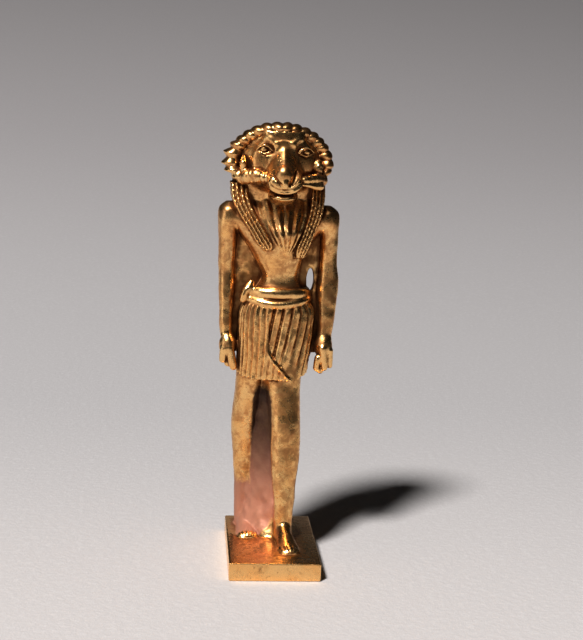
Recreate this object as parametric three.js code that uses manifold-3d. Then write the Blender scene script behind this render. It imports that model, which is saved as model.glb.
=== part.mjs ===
import * as THREE from 'three';
import { mergeVertices } from 'three/addons/utils/BufferGeometryUtils.js';
import Module from 'manifold-3d';

// A small cast-gold amulet: a striding ram-headed god on a thin plinth, made as one solid.
// Sizes are millimetres. X runs to the viewer's right, Y runs back and Z runs up.
// The origin is the centre of the plinth's underside.

const wasm = await Module();
wasm.setup();

// Driving dimensions

const height = 36;
const plinth = { width: 7.35, depth: 12.1, height: 1.47, corner: 0.22, edge: 0.1 };
const ground = plinth.height;

// Limbs and trunk are given by stations. At each height z there is a centre (x, y), a half
// width, and a depth to the front and to the back of the centre.

const rearLeg = [
  { z: ground, x: -2.1, y: 4.1, wide: 0.85, front: 0.9, back: 0.85 },
  { z: 3.3, x: -2.15, y: 4.05, wide: 0.84, front: 0.85, back: 0.8 },
  { z: 6.5, x: -2.15, y: 3.85, wide: 0.98, front: 0.95, back: 1.05 },
  { z: 8.6, x: -2.25, y: 3.65, wide: 1.1, front: 1.0, back: 1.2 },
  { z: 10.8, x: -2.35, y: 3.4, wide: 1.13, front: 1.15, back: 1.1 },
  { z: 13.2, x: -2.1, y: 3.15, wide: 1.2, front: 1.3, back: 1.3 },
  { z: 17.5, x: -1.7, y: 2.9, wide: 1.35, front: 1.5, back: 1.6 },
];

const frontLeg = [
  { z: ground, x: 0.95, y: 0.2, wide: 0.8, front: 0.8, back: 0.85 },
  { z: 3.6, x: 0.97, y: 0.25, wide: 0.8, front: 0.78, back: 0.82 },
  { z: 4.8, x: 0.98, y: 0.4, wide: 0.87, front: 0.85, back: 0.95 },
  { z: 6.6, x: 0.97, y: 0.65, wide: 1.02, front: 0.95, back: 1.15 },
  { z: 8.4, x: 0.99, y: 0.9, wide: 1.18, front: 1.05, back: 1.3 },
  { z: 10.7, x: 0.97, y: 1.25, wide: 1.25, front: 1.2, back: 1.15 },
  { z: 13.2, x: 0.77, y: 1.75, wide: 1.36, front: 1.35, back: 1.3 },
  { z: 17.5, x: 0.7, y: 2.3, wide: 1.5, front: 1.5, back: 1.6 },
];

// A foot is given from its heel (along 0) to its toes (along 1).
const footLength = 5.05;
const rearFoot = { heel: [-2.12, 5.1], toe: [-1.92, 0.05] };
const frontFoot = { heel: [0.85, 1.15], toe: [1.42, -3.95] };
const footSole = 0.4;
const foot = [
  { along: 0, wide: 0.35, up: 0.5 },
  { along: 0.07, wide: 0.66, up: 1.25 },
  { along: 0.2, wide: 0.78, up: 1.9 },
  { along: 0.4, wide: 0.74, up: 1.3 },
  { along: 0.62, wide: 0.84, up: 0.78 },
  { along: 0.85, wide: 0.88, up: 0.5 },
  { along: 0.97, wide: 0.72, up: 0.36 },
  { along: 1, wide: 0.5, up: 0.2 },
];

// The web of metal that the caster left between the legs runs slantwise from the rear leg to
// the front one, and spreads where it meets the plinth.
const web = [
  { z: ground - 0.3, x: -0.7, y: 1.9, long: 2.3, thick: 1.25 },
  { z: 2.3, x: -0.65, y: 2.1, long: 2.1, thick: 0.85 },
  { z: 4.5, x: -0.6, y: 2.35, long: 1.9, thick: 0.62 },
  { z: 9, x: -0.6, y: 2.5, long: 1.7, thick: 0.55 },
  { z: 14, x: -0.6, y: 2.6, long: 1.6, thick: 0.7 },
  { z: 17.2, x: -0.5, y: 2.6, long: 1.6, thick: 1 },
];
const webTurn = THREE.MathUtils.degToRad(-42);

const kilt = {
  waist: { z: 21.5, x: 0, y: 2.65, wide: 2.35, front: 1.75, back: 1.75 },
  hips: { z: 19, x: -0.12, y: 2.7, wide: 2.95, front: 2.1, back: 2.15 },
  hem: { z: 15.3, x: -0.28, y: 2.75, wide: 3.02, front: 2.2, back: 2.15 },
  pleats: 34,
  pleatDepth: 0.15,
  rows: 4,
  slant: 0.22,
  dip: 0.45,
};

// The belt is two rolls that part at the front and meet at the sides.
const belt = { x: 0, y: 2.68, wide: 2.3, deep: 1.75, backRise: 0.4 };
const lowerRoll = { radius: 0.47, sideZ: 21.4, frontDrop: 0.6, shrink: 0 };
const upperRoll = { radius: 0.42, sideZ: 21.8, frontDrop: -0.05, shrink: 0.2 };

const torso = [
  { z: 20, x: -0.05, y: 2.7, wide: 2.3, front: 1.6, back: 1.65 },
  { z: 21.8, x: 0.05, y: 2.7, wide: 2.1, front: 1.6, back: 1.6 },
  { z: 23, x: 0.2, y: 2.75, wide: 1.52, front: 1.4, back: 1.25 },
  { z: 24.4, x: 0.05, y: 2.75, wide: 1.85, front: 1.55, back: 1.35 },
  { z: 25.6, x: -0.05, y: 2.75, wide: 2.4, front: 1.75, back: 1.5 },
  { z: 27, x: -0.05, y: 2.8, wide: 3.45, front: 1.8, back: 1.6 },
  { z: 28.3, x: -0.05, y: 2.85, wide: 4.15, front: 1.55, back: 1.45 },
  { z: 29, x: -0.05, y: 2.85, wide: 3.9, front: 1.25, back: 1.2 },
  { z: 29.5, x: -0.05, y: 2.85, wide: 2.6, front: 0.9, back: 0.9 },
];

const leftArm = [
  { z: 18.3, x: -4.15, y: 2.4, wide: 0.5, front: 0.6, back: 0.6 },
  { z: 19.3, x: -4.2, y: 2.5, wide: 0.55, front: 0.65, back: 0.65 },
  { z: 21.5, x: -4.2, y: 2.75, wide: 0.62, front: 0.75, back: 0.8 },
  { z: 23.5, x: -4.25, y: 2.95, wide: 0.68, front: 0.8, back: 0.85 },
  { z: 26, x: -4.22, y: 2.9, wide: 0.75, front: 0.95, back: 0.95 },
  { z: 28.2, x: -4.15, y: 2.85, wide: 0.86, front: 1.15, back: 1.1 },
  { z: 28.95, x: -4.1, y: 2.85, wide: 0.78, front: 0.95, back: 0.95 },
  { z: 29.3, x: -4.05, y: 2.85, wide: 0.42, front: 0.5, back: 0.5 },
];

const rightArm = [
  { z: 18.2, x: 4, y: 2.3, wide: 0.58, front: 0.6, back: 0.6 },
  { z: 19.2, x: 4.1, y: 2.45, wide: 0.66, front: 0.68, back: 0.68 },
  { z: 20.8, x: 4.12, y: 2.65, wide: 0.78, front: 0.78, back: 0.8 },
  { z: 22.7, x: 4.22, y: 2.9, wide: 0.9, front: 0.85, back: 0.9 },
  { z: 24.4, x: 4.18, y: 2.95, wide: 0.73, front: 0.85, back: 0.9 },
  { z: 26.5, x: 4.15, y: 2.9, wide: 0.75, front: 0.95, back: 0.95 },
  { z: 28, x: 4.02, y: 2.85, wide: 0.86, front: 1.15, back: 1.1 },
  { z: 28.8, x: 3.9, y: 2.85, wide: 0.8, front: 0.95, back: 0.95 },
  { z: 29.15, x: 3.8, y: 2.85, wide: 0.42, front: 0.5, back: 0.5 },
];

// Each hand is a fist: a rounded block, with the thumb in front and the fingers curled.
const leftFist = { x: -3.88, y: 2.1, z: 17.3, wide: 0.86, deep: 0.95, tall: 1.4 };
const rightFist = { x: 3.95, y: 2.05, z: 17, wide: 0.8, deep: 0.95, tall: 1.6 };
const thumb = { radius: 0.26, length: 1.5, lean: 0.18 };

// Thin metal fills the space between each arm and the body. On the viewer's right it has a
// narrow opening beside the waist.
const armWeb = [
  { z: 16.8, inner: 2.2, outer: 4.1, thick: 0.3 },
  { z: 21, inner: 1.6, outer: 4.1, thick: 0.32 },
  { z: 24, inner: 1.2, outer: 4.1, thick: 0.35 },
  { z: 27.6, inner: 1.2, outer: 4.1, thick: 0.5 },
];
const armWebY = 3.3;
const opening = { x: 2.72, z: 22.95, wide: 0.3, tall: 0.98 };

// The wig: a cap behind the horns, and a striated tab down the back.
const wig = [
  { z: 28.4, x: -0.25, y: 3.1, wide: 3.1, front: 1.1, back: 1.6 },
  { z: 29.4, x: -0.3, y: 2.9, wide: 3.6, front: 1.2, back: 1.75 },
  { z: 31, x: -0.25, y: 2.8, wide: 3.7, front: 1.6, back: 1.9 },
  { z: 33, x: -0.2, y: 2.7, wide: 3.8, front: 1.6, back: 1.95 },
  { z: 34.5, x: -0.15, y: 2.5, wide: 2.8, front: 1.1, back: 1.5 },
  { z: 35.3, x: -0.1, y: 2.3, wide: 1.5, front: 0.8, back: 0.8 },
  { z: 35.55, x: -0.1, y: 2.2, wide: 0.5, front: 0.3, back: 0.3 },
];
const backTab = { top: 30.5, bottom: 25.9, y: 4.25, wideTop: 2.5, wideBottom: 1.7, thick: 0.5, strands: 9 };

// A lappet is a fluted band from behind the horn down on to the chest.
const leftLappet = {
  path: [[-3.35, 2.1, 30.9], [-3.35, 1.5, 29.7], [-2.75, 1.05, 28.3], [-1.95, 0.85, 26.9], [-1.3, 0.9, 25.6]],
  wide: 0.68,
};
const rightLappet = {
  path: [[2.75, 2.1, 30.9], [2.7, 1.5, 29.7], [2.3, 1.05, 28.3], [1.8, 0.85, 26.9], [1.45, 0.9, 25.3]],
  wide: 0.66,
};
const lappetThick = 0.42;
const lappetStrands = 4;

// The fleece hangs from the throat between the lappets and ends in a point.
const fleece = [
  { z: 25.1, x: 0.35, y: 1.35, wide: 0.15, front: 0.2, back: 0.3 },
  { z: 26, x: 0.2, y: 1.4, wide: 0.65, front: 0.62, back: 0.5 },
  { z: 27.4, x: 0.1, y: 1.5, wide: 1.2, front: 0.95, back: 0.7 },
  { z: 28.8, x: 0, y: 1.8, wide: 1.7, front: 1, back: 0.9 },
  { z: 30.2, x: 0, y: 2, wide: 2, front: 1.2, back: 1 },
];
const fleeceStrands = 7;

// The head is given from the nose (front) to the back by its outline in upright slices: the
// half width, the top and the bottom of each slice.
const head = [
  { y: -1.98, x: 0.04, wide: 0.5, top: 31.75, bottom: 30.75 },
  { y: -1.8, x: 0.04, wide: 0.9, top: 32.1, bottom: 30.35 },
  { y: -1.45, x: 0.04, wide: 1.15, top: 32.4, bottom: 29.75 },
  { y: -0.8, x: 0.04, wide: 1.28, top: 32.95, bottom: 29.45 },
  { y: -0.1, x: 0.04, wide: 1.5, top: 33.75, bottom: 29.5 },
  { y: 0.6, x: 0.03, wide: 2.2, top: 34.75, bottom: 29.8 },
  { y: 1.3, x: -0.1, wide: 3.1, top: 35.3, bottom: 30.1 },
  { y: 2.1, x: -0.15, wide: 3.85, top: 35.4, bottom: 30.2 },
  { y: 3, x: -0.15, wide: 3.3, top: 34.9, bottom: 30.4 },
];

const eyes = [
  { x: -1.5, y: 0.38, z: 33.68 },
  { x: 1.72, y: 0.42, z: 33.56 },
];
const eye = { wide: 0.42, deep: 0.4, tall: 0.32 };
const brow = { rise: 0.6, wide: 0.62, deep: 0.42, tall: 0.2 };
const ears = [
  { x: -3.15, y: 1.1, z: 32.55, wide: 0.38, deep: 0.6, tall: 0.75 },
  { x: 2.95, y: 1.1, z: 32.3, wide: 0.45, deep: 0.6, tall: 0.7 },
];
const mouth = { x: 0.04, y: -1.75, z: 30.2, wide: 1.02, deep: 0.5, tall: 0.12 };
const nostrils = [
  { top: [-0.95, -1.75, 31.75], bottom: [-0.2, -2.05, 30.75], radius: 0.13 },
  { top: [1.02, -1.75, 31.7], bottom: [0.32, -2.05, 30.75], radius: 0.17 },
];

// Each horn leaves the brow at the middle, turns out, back and down round the ear, and comes
// forward again to a plain tip beside the muzzle.
const horn = {
  x: -0.15,
  z: 32.5,
  leftReach: 4,
  rightReach: 3.8,
  fall: 1.7,
  frontY: 0.9,
  setBack: 1.1,
  sweep: THREE.MathUtils.degToRad(132),
  ribs: 11,
  ringsPerRib: 2,
  sides: 8,
  radial: 0.42,
  ribHeight: 0.24,
  spikeHeight: 0.24,
  deep: 0.85,
};
const hornTips = [
  { outer: [-3.05, 1.1, 31.05], inner: [-1.3, -0.35, 31.3], radius: 0.42, point: 0.14 },
  { outer: [3.0, 1.1, 30.85], inner: [1.45, -0.4, 31.05], radius: 0.44, point: 0.14 },
];

const loop = { y: 4.95, z: 31.2, radius: 0.62, wire: 0.27 };

const gold = new THREE.MeshStandardMaterial({ color: 0xd9a441, roughness: 0.33, metalness: 1 });

// Geometry helpers

// A function that gives every named size at any place between the stations, on a smooth curve.
function smoothSizes(stations, along) {
  const names = Object.keys(stations[0]);
  const places = stations.map((station) => station[along]);
  const values = stations.flatMap((station) => names.map((name) => station[name]));
  const curve = new THREE.CubicInterpolant(places, values, names.length);
  return (place) => {
    const found = curve.evaluate(place);
    return Object.fromEntries(names.map((name, index) => [name, found[index]]));
  };
}

// A closed skin over a row of rings. Its ends are closed by fans, or joined to each other.
function skin(rings, endless = false) {
  const sides = rings[0].length;
  const points = rings.flat();
  const faces = [];
  const bands = endless ? rings.length : rings.length - 1;
  for (let band = 0; band < bands; band += 1) {
    const low = band * sides;
    const high = ((band + 1) % rings.length) * sides;
    for (let side = 0; side < sides; side += 1) {
      const next = (side + 1) % sides;
      faces.push(low + side, low + next, high + next, low + side, high + next, high + side);
    }
  }
  if (!endless) {
    const last = (rings.length - 1) * sides;
    const firstHub = points.push(centreOf(rings[0])) - 1;
    const lastHub = points.push(centreOf(rings[rings.length - 1])) - 1;
    for (let side = 0; side < sides; side += 1) {
      const next = (side + 1) % sides;
      faces.push(firstHub, next, side, lastHub, last + side, last + next);
    }
  }
  const geometry = new THREE.BufferGeometry().setFromPoints(points);
  geometry.setIndex(faces);
  return geometry;
}

function centreOf(ring) {
  const sum = ring.reduce((total, point) => total.add(point), new THREE.Vector3());
  return sum.divideScalar(ring.length);
}

// Six times the signed volume inside a skin; it is negative when the faces point inward.
function signedVolume(positions, faces) {
  const corners = [new THREE.Vector3(), new THREE.Vector3(), new THREE.Vector3()];
  let volume = 0;
  for (let face = 0; face < faces.length; face += 3) {
    corners.forEach((corner, index) => corner.fromArray(positions, faces[face + index] * 3));
    volume += corners[0].dot(corners[1].cross(corners[2]));
  }
  return volume;
}

function toSolid(geometry) {
  const bare = new THREE.BufferGeometry();
  bare.setAttribute('position', geometry.getAttribute('position'));
  bare.setIndex(geometry.getIndex());
  const merged = mergeVertices(bare, 1e-5);
  const vertProperties = new Float32Array(merged.getAttribute('position').array);
  const triVerts = new Uint32Array(merged.getIndex().array);
  if (signedVolume(vertProperties, triVerts) < 0) {
    triVerts.reverse();
  }
  return new wasm.Manifold(new wasm.Mesh({ numProp: 3, vertProperties, triVerts }));
}

function toGeometry(solid) {
  const mesh = solid.getMesh();
  const geometry = new THREE.BufferGeometry();
  geometry.setAttribute('position', new THREE.BufferAttribute(mesh.vertProperties, 3));
  geometry.setIndex(new THREE.BufferAttribute(mesh.triVerts, 1));
  geometry.computeVertexNormals();
  return geometry;
}

// The distance from the middle to a rounded square of half width 1, in one direction.
function roundedSquare(angle, power) {
  const across = Math.abs(Math.cos(angle)) ** power;
  const deep = Math.abs(Math.sin(angle)) ** power;
  return (across + deep) ** (-1 / power);
}

// A level ring round a station. The front of the ring is at -Y.
function levelRing(size, sides, power = 2.2, ripple = () => 0) {
  const ring = [];
  for (let side = 0; side < sides; side += 1) {
    const angle = (side / sides) * Math.PI * 2;
    const reach = roundedSquare(angle, power);
    const out = ripple(angle);
    const deep = Math.sin(angle) < 0 ? size.front : size.back;
    const x = size.x + Math.cos(angle) * (reach * size.wide + out);
    const y = size.y + Math.sin(angle) * (reach * deep + out);
    ring.push(new THREE.Vector3(x, y, size.z));
  }
  return ring;
}

// A limb or trunk through its stations, with rings at even heights.
function limb(stations, { sides = 14, rings = 9, power = 2.2, ripple } = {}) {
  const sizeAt = smoothSizes(stations, 'z');
  const bottom = stations[0].z;
  const rise = stations[stations.length - 1].z - bottom;
  const row = [];
  for (let ring = 0; ring <= rings; ring += 1) {
    row.push(levelRing(sizeAt(bottom + (rise * ring) / rings), sides, power, ripple));
  }
  return skin(row);
}

function ellipsoid({ x, y, z, wide, deep, tall }, columns = 10, rows = 6) {
  const ball = new THREE.SphereGeometry(1, columns, rows);
  return ball.scale(wide, deep, tall).translate(x, y, z);
}

function joined(geometries) {
  return geometries.map(toSolid).reduce((whole, solid) => whole.add(solid));
}

// A round tube along a smooth path, thinning from one radius to another.
function taperedTube(points, startRadius, endRadius, sides = 10, rings = 6) {
  const path = new THREE.CatmullRomCurve3(points.map((point) => new THREE.Vector3(...point)));
  const frames = path.computeFrenetFrames(rings);
  const row = [];
  for (let ring = 0; ring <= rings; ring += 1) {
    const centre = path.getPointAt(ring / rings);
    const radius = THREE.MathUtils.lerp(startRadius, endRadius, ring / rings);
    const circle = [];
    for (let side = 0; side < sides; side += 1) {
      const angle = (side / sides) * Math.PI * 2;
      const point = centre.clone();
      point.addScaledVector(frames.normals[ring], Math.cos(angle) * radius);
      point.addScaledVector(frames.binormals[ring], Math.sin(angle) * radius);
      circle.push(point);
    }
    row.push(circle);
  }
  return skin(row);
}

// Sub-parts

function plinthBlock() {
  const { width, depth, corner, edge } = plinth;
  const x = width / 2 - edge;
  const y = depth / 2 - edge;
  const outline = new THREE.Shape();
  outline.moveTo(-x + corner, -y);
  outline.lineTo(x - corner, -y);
  outline.absarc(x - corner, -y + corner, corner, -Math.PI / 2, 0);
  outline.lineTo(x, y - corner);
  outline.absarc(x - corner, y - corner, corner, 0, Math.PI / 2);
  outline.lineTo(-x + corner, y);
  outline.absarc(-x + corner, y - corner, corner, Math.PI / 2, Math.PI);
  outline.lineTo(-x, -y + corner);
  outline.absarc(-x + corner, -y + corner, corner, Math.PI, Math.PI * 1.5);
  const block = new THREE.ExtrudeGeometry(outline, {
    depth: plinth.height - 2 * edge,
    bevelThickness: edge,
    bevelSize: edge,
    bevelSegments: 1,
    curveSegments: 3,
  });
  return block.translate(0, 0, edge);
}

// A foot: upright half-oval slices from the heel to the toes, its sole sunk in the plinth.
function footBlock({ heel, toe }, sides = 12, rings = 10) {
  const sizeAt = smoothSizes(foot, 'along');
  const start = new THREE.Vector3(heel[0], heel[1], ground);
  const forward = new THREE.Vector3(toe[0] - heel[0], toe[1] - heel[1], 0).normalize();
  const across = new THREE.Vector3(-forward.y, forward.x, 0);
  const row = [];
  for (let ring = 0; ring <= rings; ring += 1) {
    const size = sizeAt(ring / rings);
    const centre = start.clone().addScaledVector(forward, footLength * size.along);
    const slice = [];
    for (let side = 0; side < sides; side += 1) {
      const angle = (side / sides) * Math.PI * 2;
      const lift = Math.sin(angle) * (Math.sin(angle) > 0 ? size.up : footSole);
      const point = centre.clone().addScaledVector(across, Math.cos(angle) * size.wide);
      slice.push(point.setZ(ground + lift));
    }
    row.push(slice);
  }
  return skin(row);
}

function legWeb(sides = 12, rings = 6) {
  const sizeAt = smoothSizes(web, 'z');
  const bottom = web[0].z;
  const rise = web[web.length - 1].z - bottom;
  const row = [];
  for (let ring = 0; ring <= rings; ring += 1) {
    const size = sizeAt(bottom + (rise * ring) / rings);
    const flat = { z: size.z, x: 0, y: 0, wide: size.long, front: size.thick, back: size.thick };
    const turned = levelRing(flat, sides, 3).map((point) => {
      point.applyAxisAngle(new THREE.Vector3(0, 0, 1), webTurn);
      return point.add(new THREE.Vector3(size.x, size.y, 0));
    });
    row.push(turned);
  }
  return skin(row);
}

// The kilt: a pleated skirt whose ridges lean over the advanced leg, with a hem that dips at
// the front.
function pleatedKilt() {
  const { waist, hips, hem, pleats, pleatDepth, rows, slant, dip } = kilt;
  const sizeAt = smoothSizes([hem, hips, waist], 'z');
  const sides = pleats * 2;
  const rings = [];
  for (let row = 0; row <= rows; row += 1) {
    const ring = [];
    for (let side = 0; side < sides; side += 1) {
      const fall = 1 - row / rows;
      const level = (side / sides) * Math.PI * 2;
      const front = Math.max(0, -Math.sin(level));
      const angle = level - slant * fall * front;
      const size = sizeAt(THREE.MathUtils.lerp(waist.z, hem.z, fall));
      const ridge = side % 2 === 0 ? pleatDepth : 0;
      const reach = roundedSquare(angle, 2.4);
      const deep = Math.sin(angle) < 0 ? size.front : size.back;
      const x = size.x + Math.cos(angle) * (reach * size.wide + ridge);
      const y = size.y + Math.sin(angle) * (reach * deep + ridge);
      ring.push(new THREE.Vector3(x, y, size.z - dip * fall * front));
    }
    rings.push(ring);
  }
  return skin(rings);
}

// A roll of the belt: a round tube in a loop about the waist, low at the front.
function beltRoll({ radius, sideZ, frontDrop, shrink }, turns = 24, sides = 6) {
  const rings = [];
  for (let turn = 0; turn < turns; turn += 1) {
    const angle = (turn / turns) * Math.PI * 2;
    const slope = Math.sin(angle) < 0 ? frontDrop : belt.backRise;
    const z = sideZ + slope * Math.sin(angle);
    const circle = [];
    for (let side = 0; side < sides; side += 1) {
      const around = (side / sides) * Math.PI * 2;
      const out = Math.cos(around) * radius - shrink;
      const x = belt.x + Math.cos(angle) * (belt.wide + out);
      const y = belt.y + Math.sin(angle) * (belt.deep + out);
      circle.push(new THREE.Vector3(x, y, z + Math.sin(around) * radius));
    }
    rings.push(circle);
  }
  return skin(rings, true);
}

function fist(size, towards) {
  const block = limb([
    { z: size.z - size.tall, x: size.x + 0.1 * towards, y: size.y, wide: size.wide * 0.6, front: size.deep * 0.5, back: size.deep * 0.5 },
    { z: size.z - size.tall * 0.6, x: size.x, y: size.y, wide: size.wide, front: size.deep * 0.9, back: size.deep * 0.9 },
    { z: size.z + size.tall * 0.3, x: size.x, y: size.y + 0.1, wide: size.wide, front: size.deep, back: size.deep * 0.9 },
    { z: size.z + size.tall, x: size.x, y: size.y + 0.25, wide: size.wide * 0.7, front: size.deep * 0.55, back: size.deep * 0.6 },
  ], { sides: 10, rings: 5, power: 2.6 });
  const thumbTop = [size.x + 0.3 * towards, size.y - size.deep * 0.8, size.z + 0.5];
  const thumbEnd = [thumbTop[0] + thumb.lean * towards, thumbTop[1] + 0.15, thumbTop[2] - thumb.length];
  return [block, taperedTube([thumbTop, thumbEnd], thumb.radius, thumb.radius * 0.7, 7, 2)];
}

function armWebPanel(towards, rings = 6) {
  const sizeAt = smoothSizes(armWeb, 'z');
  const bottom = armWeb[0].z;
  const rise = armWeb[armWeb.length - 1].z - bottom;
  const row = [];
  for (let ring = 0; ring <= rings; ring += 1) {
    const size = sizeAt(bottom + (rise * ring) / rings);
    const middle = (size.inner + size.outer) / 2;
    const half = (size.outer - size.inner) / 2;
    row.push(levelRing({
      z: size.z, x: towards * middle, y: armWebY, wide: half, front: size.thick, back: size.thick,
    }, 12, 4));
  }
  return skin(row);
}

function waistOpening() {
  const oval = new THREE.Shape().absellipse(0, 0, opening.wide, opening.tall, 0, Math.PI * 2);
  const bar = new THREE.ExtrudeGeometry(oval, { depth: 8, bevelEnabled: false, curveSegments: 8 });
  return bar.rotateX(Math.PI / 2).translate(opening.x, 7, opening.z);
}

function wigTab() {
  const { top, bottom, y, wideTop, wideBottom, thick, strands } = backTab;
  const sides = strands * 4;
  const strand = (angle) => (Math.sin(angle) > 0 ? 0.07 * Math.cos(angle * strands * 2) : 0);
  return limb([
    { z: bottom, x: -0.15, y, wide: wideBottom, front: thick, back: thick * 0.6 },
    { z: bottom + 0.3, x: -0.15, y, wide: wideBottom + 0.05, front: thick, back: thick },
    { z: top, x: -0.15, y: y - 0.1, wide: wideTop, front: thick, back: thick },
  ], { sides, rings: 3, power: 3, ripple: strand });
}

// A lappet: a flat band with ridged strands on its outer face.
function lappet({ path, wide }, sides = 16, rings = 7) {
  const curve = new THREE.CatmullRomCurve3(path.map((point) => new THREE.Vector3(...point)));
  const outward = new THREE.Vector3(0, -1, 0);
  const row = [];
  for (let ring = 0; ring <= rings; ring += 1) {
    const centre = curve.getPointAt(ring / rings);
    const tangent = curve.getTangentAt(ring / rings);
    const across = new THREE.Vector3().crossVectors(tangent, outward).normalize();
    const proud = new THREE.Vector3().crossVectors(across, tangent).normalize();
    const narrow = ring === rings ? 0.75 : 1;
    const slice = [];
    for (let side = 0; side < sides; side += 1) {
      const angle = (side / sides) * Math.PI * 2;
      const reach = roundedSquare(angle, 3);
      const sideways = Math.cos(angle) * reach * wide * narrow;
      const ridge = Math.sin(angle) > 0 ? 0.08 * Math.cos((sideways / wide) * Math.PI * lappetStrands) : 0;
      const outwards = Math.sin(angle) * reach * lappetThick + ridge;
      slice.push(centre.clone().addScaledVector(across, sideways).addScaledVector(proud, outwards));
    }
    row.push(slice);
  }
  return skin(row);
}

function fleecePanel() {
  const strand = (angle) => (Math.sin(angle) < 0 ? 0.06 * Math.cos(angle * fleeceStrands * 2) : 0);
  return limb(fleece, { sides: fleeceStrands * 4, rings: 6, power: 2.2, ripple: strand });
}

function headBlock(sides = 18, rings = 12) {
  const sizeAt = smoothSizes(head, 'y');
  const front = head[0].y;
  const depth = head[head.length - 1].y - front;
  const row = [];
  for (let ring = 0; ring <= rings; ring += 1) {
    const size = sizeAt(front + depth * (ring / rings) ** 1.2);
    const middle = (size.top + size.bottom) / 2;
    const half = (size.top - size.bottom) / 2;
    const slice = [];
    for (let side = 0; side < sides; side += 1) {
      const angle = (side / sides) * Math.PI * 2;
      const reach = roundedSquare(angle, 2.1);
      const x = size.x + Math.cos(angle) * reach * size.wide;
      slice.push(new THREE.Vector3(x, size.y, middle + Math.sin(angle) * reach * half));
    }
    row.push(slice);
  }
  return skin(row);
}

// One ribbed horn. Its section is taken across the path: radially from the ring's centre, and
// from front to back.
function ribbedHorn(towards) {
  const reach = towards < 0 ? horn.leftReach : horn.rightReach;
  const pathPoint = (turn) => {
    const angle = Math.PI / 2 - towards * turn * horn.sweep;
    const rise = height - horn.radial - horn.ribHeight - horn.z;
    const lift = Math.sin(angle) > 0 ? rise : horn.fall;
    const back = horn.setBack * Math.sin(turn * Math.PI * 0.9);
    const x = horn.x + Math.cos(angle) * reach;
    return new THREE.Vector3(x, horn.frontY + back, horn.z + Math.sin(angle) * lift);
  };
  const middle = new THREE.Vector3(horn.x, horn.frontY, horn.z);
  const steps = horn.ribs * horn.ringsPerRib;
  const row = [];
  for (let step = 0; step <= steps; step += 1) {
    const turn = step / steps;
    const centre = pathPoint(turn);
    const tangent = pathPoint(turn + 0.01).sub(pathPoint(turn - 0.01)).normalize();
    const radial = centre.clone().sub(middle).setY(0).normalize();
    const deep = new THREE.Vector3().crossVectors(tangent, radial).normalize();
    const rib = 0.5 - 0.5 * Math.cos((step / horn.ringsPerRib) * Math.PI * 2);
    const spike = towards < 0 ? horn.spikeHeight * rib * Math.sin(turn * Math.PI) : 0;
    const slice = [];
    for (let side = 0; side < horn.sides; side += 1) {
      const angle = (side / horn.sides) * Math.PI * 2;
      const outer = Math.max(0, Math.cos(angle)) * spike;
      const out = Math.cos(angle) * (horn.radial + horn.ribHeight * rib) + outer;
      const along = Math.sin(angle) * (horn.deep + horn.ribHeight * rib);
      slice.push(centre.clone().addScaledVector(radial, out).addScaledVector(deep, along));
    }
    row.push(slice);
  }
  return skin(row);
}

function hornTip({ outer, inner, radius, point }) {
  return taperedTube([outer, inner], radius, point, 8, 3);
}

function suspensionLoop() {
  const ring = new THREE.TorusGeometry(loop.radius, loop.wire, 6, 14);
  return ring.rotateY(Math.PI / 2).translate(0, loop.y, loop.z);
}

function faceCuts() {
  const slits = nostrils.map(({ top, bottom, radius }) => taperedTube([top, bottom], radius, radius, 6, 2));
  return joined([ellipsoid(mouth), ...slits]);
}

// The whole figure

function ramHeadedAmulet() {
  const lower = [plinthBlock(), footBlock(rearFoot), footBlock(frontFoot), limb(rearLeg), limb(frontLeg), legWeb()];
  const middle = [
    pleatedKilt(),
    beltRoll(lowerRoll),
    beltRoll(upperRoll),
    limb(torso, { sides: 18, rings: 10, power: 2.3 }),
  ];
  const arms = [
    limb(leftArm, { sides: 12, rings: 10 }),
    limb(rightArm, { sides: 12, rings: 10 }),
    ...fist(leftFist, 1),
    ...fist(rightFist, -1),
  ];
  const webs = joined([armWebPanel(-1), armWebPanel(1)]).subtract(toSolid(waistOpening()));
  const hair = [limb(wig, { sides: 18, rings: 8 }), wigTab(), lappet(leftLappet), lappet(rightLappet), fleecePanel()];
  const face = joined([headBlock(), ...eyes.map((place) => ellipsoid({ ...place, ...eye }))])
    .add(joined(eyes.map((place) => ellipsoid({ ...place, ...brow, z: place.z + brow.rise }))))
    .subtract(faceCuts());
  const horns = [ribbedHorn(-1), ribbedHorn(1), ...hornTips.map(hornTip), ...ears.map((ear) => ellipsoid(ear))];
  const figure = joined([...lower, ...middle, ...arms]).add(webs).add(joined(hair)).add(face)
    .add(joined([...horns, suspensionLoop()]));
  const mesh = new THREE.Mesh(toGeometry(figure), gold);
  mesh.name = 'ram_headed_amulet';
  return mesh;
}

const amulet = new THREE.Group();
amulet.add(ramHeadedAmulet());

export default amulet;
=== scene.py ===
"""A small cast-gold amulet of a ram-headed god in a pleated kilt, striding on a thin plinth.

The figure is modelled as a sculptor models one: forms are laid on a block of clay, joined
softly, and cut and combed with tools. The skin of the clay is then taken off as one mesh.
Sizes are in millimetres, in the frame's own axes: X to the viewer's right, Y back, Z up.
"""
import math

import bpy
import numpy as np
from mathutils import Matrix, Vector


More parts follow.
